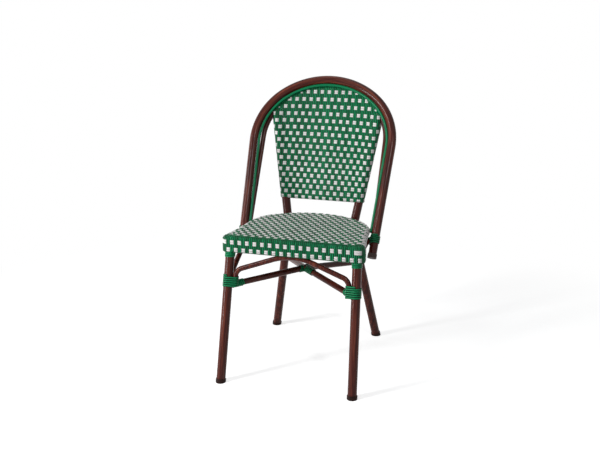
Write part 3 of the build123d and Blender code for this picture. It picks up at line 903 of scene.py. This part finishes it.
# %% [markdown]
# ## The surface of the back
# The back is a sheet stretched between its lower rail, the two stays and the arch. It is given
# by xi, the distance sideways, and t, the height. The stays and the arch are its edges. Between
# them it bows rearward, most in the middle, because rail and crown lie on a line that is further
# back than the stays are at the same height. At the stays it rises over the thicker tube and
# rounds it, and at the foot it rounds the rail.

# %% Back surface
# distance of the weave's middle from the middle of its rail and of its stays
SHEET, STAY_WRAP = INNER + 1.4, LEG + 1.6
# the arch's top arc: its bend, its middle, and where it takes over from the side arc
ARCH_BEND, ARCH_MIDDLE, ARCH_JOIN = 216.33, 252.84, 404.0
# depth of the back's middle line at the rail and its slope, and the height where the back ends
CHORD_DEPTH, CHORD_SLOPE, BACK_TOP_Z = 427.5, 0.2922, 843.9
# the swell over the stays: how wide it is, and where it fades out upwards
SWELL, SWELL_END, SWELL_FADE = 20, 762, 16


def edge_of_back(z):
    """Half width and depth of the back's edge tubes: the stay's line, then the arch's arcs."""
    share = (z - WAIST[2]) / (STAY_TOP[2] - WAIST[2])
    stay_x = WAIST[0] + share * (STAY_TOP[0] - WAIST[0])
    stay_d = WAIST[1] - FRONT + share * (STAY_TOP[1] - WAIST[1])
    up = (z - LEAN_Z + INNER_SET * LEAN_SIN) / LEAN_COS
    spring, half, bend, _ = INNER_LINE
    side_x = half - bend + np.sqrt(np.clip(bend**2 - (up - spring) ** 2, 0, None))
    top_x = np.sqrt(np.clip(ARCH_BEND**2 - (up - ARCH_MIDDLE) ** 2, 0, None))
    arch_x = np.where(up < ARCH_JOIN, side_x, top_x)
    arch_d = LEAN_DEPTH + up * LEAN_SIN + INNER_SET * LEAN_COS
    on_stay = z < STAY_END_Z
    return np.where(on_stay, stay_x, arch_x), np.where(on_stay, stay_d, arch_d)


def back_surface(xi, t):
    """Points of the back at sideways distance xi and height t; below the rail t turns under it."""
    z = np.clip(t, BACK_RAIL_Z, BACK_TOP_Z)
    under = np.clip((BACK_RAIL_Z - t) / SHEET, 0, None)
    edge_x, edge_d = edge_of_back(z)
    hand, size = np.sign(xi), np.abs(xi)
    chord = CHORD_DEPTH + CHORD_SLOPE * (z - BACK_RAIL_Z)
    share = np.clip(size / np.maximum(edge_x, 1), 0, 1)
    middle = edge_d + (1 - share**2) * (chord - edge_d)
    swell = (STAY_WRAP - SHEET) * (1 - smooth((z - SWELL_END) / SWELL_FADE))
    off = SHEET + swell * np.exp(-(((edge_x - np.minimum(size, edge_x)) / SWELL) ** 2))
    round_stay = np.clip(size - edge_x, 0, None) / (SHEET + swell)
    x = hand * (np.minimum(size, edge_x) + (SHEET + swell) * np.sin(round_stay))
    depth = middle - off * np.cos(round_stay) * np.cos(under)
    return np.stack([x, depth + FRONT, z - SHEET * np.sin(under)], -1)


def back_frame(xi, t):
    """Points and outward normals: the cross product of steps sideways and upwards."""
    step = 0.4
    sideways = back_surface(xi + step, t) - back_surface(xi - step, t)
    upwards = back_surface(xi, t + step) - back_surface(xi, t - step)
    return back_surface(xi, t), unit(np.cross(sideways, upwards))


# %% [markdown]
# ## Rows and columns of the back
# The rows widen upwards, as they do when a weaver starts at the rail and eases off towards the
# arch, and they are neither quite level nor quite straight. Each row is a shed of two whites.
# The columns stand nearly upright and lean a little to one side.

# %% Rows and columns of the back
BACK_COLUMN, BACK_FIRST = 11.75, 7.8
# how far a column leans per millimetre, from the height LEAN_FROM upwards
BACK_LEAN, LEAN_FROM = 0.0086, 492.5
# above ROWS_FREE the rows end at the arch; a stay leans outwards by STAY_SLOPE per millimetre
ROWS_FREE, STAY_SLOPE = 772, 0.16872
# further out than STAY_FROM a column starts by the stay, and further out than ARCH_FROM it ends
# at ARCH_END
STAY_FROM, STAY_LOW, ARCH_FROM, ARCH_END = 122, 485.0, 170, 768.0
BACK_PAIR, BACK_GREEN, BACK_WHITE = 2.93, 5.9, 5.7
back_rows = np.arange(18)
row_z = np.polyval([-0.00083, 0.0353, -0.252, 17.96, 490.7], back_rows)
back_columns = np.arange(-17, 17)
back_over = chequer(back_rows[:, None] + 1, back_columns[None])


def row_line(row, x):
    """Height of a row at x: its own height, a slow tilt and a slight sag."""
    z = row_z[row]
    tilt = -0.5 - 1.1 * np.exp(-(((z - 635) / 55) ** 2)) + 1.4 * smooth((z - 700) / 120)
    sag = 0.9 - 0.9 * smooth((z - 560) / 200)
    return z + tilt * x / 100 + sag * (x / 100) ** 2


def back_column(column, offset, steps=150):
    """One strand of a pair: from under the rail, or from where the stay hides it, to the arch."""
    base = BACK_FIRST + BACK_COLUMN * column + offset
    size = abs(base)
    foot = BACK_RAIL_Z - SHEET * 3.1
    if size > STAY_FROM:
        foot = max(STAY_LOW, WAIST[2] + (size - 2.0 * STAY_WRAP - WAIST[0]) / STAY_SLOPE)
    heights = np.linspace(700, 843, 600)
    head = ARCH_END
    if size < ARCH_FROM:
        head = float(np.max(heights[edge_of_back(heights)[0] >= size]))
    t = np.linspace(foot, head, steps)
    xi = base + BACK_LEAN * (t - LEAN_FROM)
    points, normals = back_frame(xi, t)
    centres = np.array([row_line(row, base) for row in back_rows])
    knots = (centres[:, None] + [-7.9, -3.7, 3.7, 7.9]).ravel()
    up = back_over[:, column - back_columns[0]]
    over = (up[:, None] * [0, 1, 1, 0] - [1, 0, 0, 1]).ravel()
    wide = ((up < 0)[:, None] * [0, 1, 1, 0]).ravel()
    heights = ease(-np.interp(t, knots, over))
    return points, normals, heights, BACK_GREEN + BULGE * np.interp(t, knots, wide)


def back_row(row, offset, steps=200):
    """One strand of a row: round both stays, or to the arch where there are no stays."""
    z = row_z[row] + offset
    edge = float(edge_of_back(np.array(max(z, BACK_RAIL_Z)))[0])
    reach = edge + STAY_WRAP * 4.3 if z < ROWS_FREE else edge
    xi = np.linspace(-reach, reach, steps)
    t = row_line(row, np.clip(xi, -edge, edge)) + offset
    points, normals = back_frame(xi, t)
    index = (xi - BACK_LEAN * (z - LEAN_FROM) - BACK_FIRST) / BACK_COLUMN
    return points, normals, ease(np.interp(index, back_columns, back_over[row]))


pairs = [back_column(c, offset) for c in back_columns for offset in (-BACK_PAIR, BACK_PAIR)]
weave_pairs("back_pairs", pairs, ["back_weave"])
whites = [back_row(row, offset) for row in back_rows for offset in (-2.9, 2.9)]
weave("back_whites", whites, white_strand, ["back_weave"], BACK_WHITE)
hidden = [back_row(row, 9.2 + 0.08 * row) for row in back_rows]
weave("back_binders", beneath(hidden), green_strand, ["back_weave"], EDGE_GREEN)


# %% [markdown]
# ## Windings
# Wherever a tube is wrapped, one strand is wound round it turn by turn. A winding is a helix
# whose loop is the outline round one bar or round two bars side by side, as a taut strand would
# lie. For a direction n the outline's point is on the bar for which centre . n + radius is
# largest, at centre + radius n.


# %% Windings round bars
NONE = np.zeros(3)
WIND_GAP, WIND_FILL, WIND_STEPS = 0.3, 0.97, 40


def winding(start, end, bars, turns, thick):
    """Centre line and normals of a helix from start to end round bars (offset, radius)."""
    axis = unit(end - start)
    side = unit(np.cross(axis, [0.31, -0.2, 0.93] if abs(axis[2]) < 0.8 else [1.0, 0.0, 0.0]))
    up = np.cross(axis, side)
    count = int(WIND_STEPS * turns)
    angle = np.linspace(0, 2 * math.pi * turns, count)
    out = np.cos(angle)[:, None] * side + np.sin(angle)[:, None] * up
    middles = np.array([offset - axis * (offset @ axis) for offset, _ in bars])
    radii = np.array([radius for _, radius in bars]) + WIND_GAP + thick / 2
    chosen = np.argmax(out @ middles.T + radii, axis=1)
    loop = middles[chosen] + radii[chosen, None] * out
    travel = np.linspace(0, 1, count)[:, None]
    return start + travel * (end - start) + loop, out


def wind(name, start, end, bars, turns, node, thick=1.7):
    """A strand wound round bars, as a piece that stands for part of a node."""
    points, normals = winding(start, end, bars, turns, thick)
    width = np.linalg.norm(end - start) / turns * WIND_FILL
    line = (points[None], normals[None], width, thick, green_strand)
    piece = strands(name, *line, around=10, flat=0.7, edge=0.9)
    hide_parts(node)


def collar(name, start, towards, near, far, radius, turns, node):
    """A winding round one tube, from near to far millimetres on the way from start."""
    way = unit(towards - start)
    wind(name, start + way * near, start + way * far, [(NONE, radius)], turns, node)


for side, turned in SIDES:
    node = f"leg_joint_binding_{side}"
    low, high = (turned(on_leg(z)) for z in (290.0, 324.5))
    both = [(NONE, LEG), (turned(-BOW_STEP), BRACE)]
    wind(f"joint_loops_{side}", low, high, both, 5.5, node, thick=2.2)
    start = turned(STRETCH_FRONT)
    collar(f"joint_collar_{side}", start, CROSSING, 15, 49, STRETCHER, 6, node)
    start, knee = turned(JOINT), turned(KNEE)
    collar(f"joint_brace_collar_{side}", start, knee, 14, 32, BRACE, 3, node)
    low, high = (turned(on_leg(z)) for z in (378.5, 394.0))
    wind(f"leg_top_loops_{side}", low, high, [(NONE, LEG)], 3.2, f"leg_top_binding_{side}")


# %% Leg ends of the hoops
# each hoop's leg: setback, where it meets the side arc, and its taper in degrees
TAPER = 2.9
OUTER_LEG, INNER_LEG = (0.0, (261.7, 228.94), TAPER), (INNER_SET, INNER_LINE[:2], 0.0)


def hoop_leg(setback, foot, taper, z):
    """The point at height z of a hoop's straight leg, below its side arc at foot."""
    up = (z - LEAN_Z + setback * LEAN_SIN) / LEAN_COS
    x = foot[1] - (foot[0] - up) * math.tan(math.radians(taper))
    depth = LEAN_DEPTH + up * LEAN_SIN + setback * LEAN_COS
    return spot(x, depth, z)


# height of the loops' upper end and number of turns on each side
LOOPS = {"right": (427.5, 4.6), "left": (421.5, 3.4)}
for side, turned in SIDES:
    node = f"hoop_end_binding_{side}"
    upper, turns = LOOPS[side]
    low, high = (turned(hoop_leg(*OUTER_LEG, z)) for z in (404.5, upper))
    gap = turned(hoop_leg(*INNER_LEG, 416)) - turned(hoop_leg(*OUTER_LEG, 416))
    wind(f"hoop_loops_{side}", low, high, [(NONE, HOOP), (gap, INNER)], turns, node, thick=2.0)
    start, bend = turned(SIDE_END), turned(TURN)
    collar(f"hoop_brace_collar_{side}", start, bend, 6, 21, BRACE, 3, node)

# %% Crossing of the stretchers
crossings = (
    ("crossing_collar", STRETCH_FRONT, 10, 45, 6),
    ("crossing_left", other_side(STRETCH_FRONT), 4, 19, 2.6),
    ("crossing_right", STRETCH_REAR, 4, 19, 2.6),
)
for name, towards, near, far, turns in crossings:
    collar(name, CROSSING, towards, near, far, STRETCHER, turns, "centre_binding")


# %% [markdown]
# ## Round the arch, and the cord in the groove
# The top of the back is finished with a strand wound round the inner hoop, turn beside turn, so
# the arch is solid green. In the groove in front of the two hoops lies a plain round cord of a
# darker, glossier green. It runs from one side over the top to the other and ends beside the seat.


# %% Lines of the hoops
def hoop_line(spring, half, side_bend, top, first, steps):
    """Right half of a hoop: (x, distance up the plane) by equal lengths, and the outward normal.

    A side arc about (half - side_bend, spring) meets a top arc whose centre is on x = 0.
    """
    side_x, rise = half - side_bend, top - spring
    top_bend = (side_x**2 + rise**2 - side_bend**2) / (2 * (rise - side_bend))
    join = math.atan2(top_bend - rise, side_x)
    parts = (side_bend * (join - first), top_bend * (math.pi / 2 - join))
    run = np.linspace(0, sum(parts), steps)
    on_side = run < parts[0]
    turned = np.where(on_side, first + run / side_bend, join + (run - parts[0]) / top_bend)
    radius = np.where(on_side, side_bend, top_bend)
    x = np.where(on_side, side_x, 0.0) + radius * np.cos(turned)
    up = np.where(on_side, spring, top - top_bend) + radius * np.sin(turned)
    return x, up, np.cos(turned), np.sin(turned)


def lifted(x, up, setback):
    """The point in the frame of a flat point of the leaning plane."""
    depth = LEAN_DEPTH + up * LEAN_SIN + setback * LEAN_COS
    z = LEAN_Z + up * LEAN_COS - setback * LEAN_SIN
    return np.stack([x, depth + FRONT, z], -1)


def both_halves(right):
    """The right half from foot to crown, and its mirror image on the way down again."""
    return np.concatenate([right, (right * [-1, 1, 1])[-2::-1]])


# %% The wound arch
ARCH_START, ARCH_PITCH, ARCH_WIDTH, ARCH_STEPS = 0.585, 5.4, 5.3, 16
x, up, out_x, out_up = hoop_line(*INNER_LINE, ARCH_START, 900)
arch = both_halves(lifted(x, up, INNER_SET))
arch_out = both_halves(lifted(out_x, out_up, 0) - lifted(0 * x, 0 * x, 0))
arch_run = np.concatenate([[0], np.cumsum(np.linalg.norm(np.diff(arch, axis=0), axis=1))])
arch_turns = int(arch_run[-1] / ARCH_PITCH)
angle = np.linspace(0, 2 * math.pi * arch_turns, arch_turns * ARCH_STEPS)
at = np.linspace(0, arch_run[-1], len(angle))
arch_at = np.stack([np.interp(at, arch_run, arch[:, k]) for k in range(3)], -1)
out_at = unit(np.stack([np.interp(at, arch_run, arch_out[:, k]) for k in range(3)], -1))
forward = np.array([0.0, -LEAN_COS, LEAN_SIN])
loop = np.cos(angle)[:, None] * out_at + np.sin(angle)[:, None] * forward
wound = (arch_at + (INNER + 1.5) * loop)[None]
piece = strands("arch_winding", wound, loop[None], ARCH_WIDTH, STRAND, green_strand, flat=0.6)
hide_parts("back_weave")

# %% The cord in the groove
# radius, setback behind the outer hoop, distance inside it, and height of the cord's ends
CORD, CORD_SET, CORD_INSET, CORD_END_Z = 4.35, 3.7, 17.2, 432.0
spring, *reaches = OUTER_LINE
inset = [reach - CORD_INSET for reach in reaches]
x, up, _, _ = hoop_line(spring, *inset, -math.radians(TAPER), 160)
foot_up = (CORD_END_Z - LEAN_Z + CORD_SET * LEAN_SIN) / LEAN_COS
leg_up = np.linspace(foot_up, up[0], 40)[:-1]
leg_x = x[0] - (up[0] - leg_up) * math.tan(math.radians(TAPER))
right = lifted(np.concatenate([leg_x, x]), np.concatenate([leg_up, up]), CORD_SET)
cord_line = both_halves(right)
facing = np.broadcast_to(forward, cord_line.shape)[None]
line = (cord_line[None], facing, 2 * CORD, 2 * CORD, cord_green)
piece = strands("groove_cord", *line, around=20, flat=1.0, edge=1.0)
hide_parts("hoop_cord")
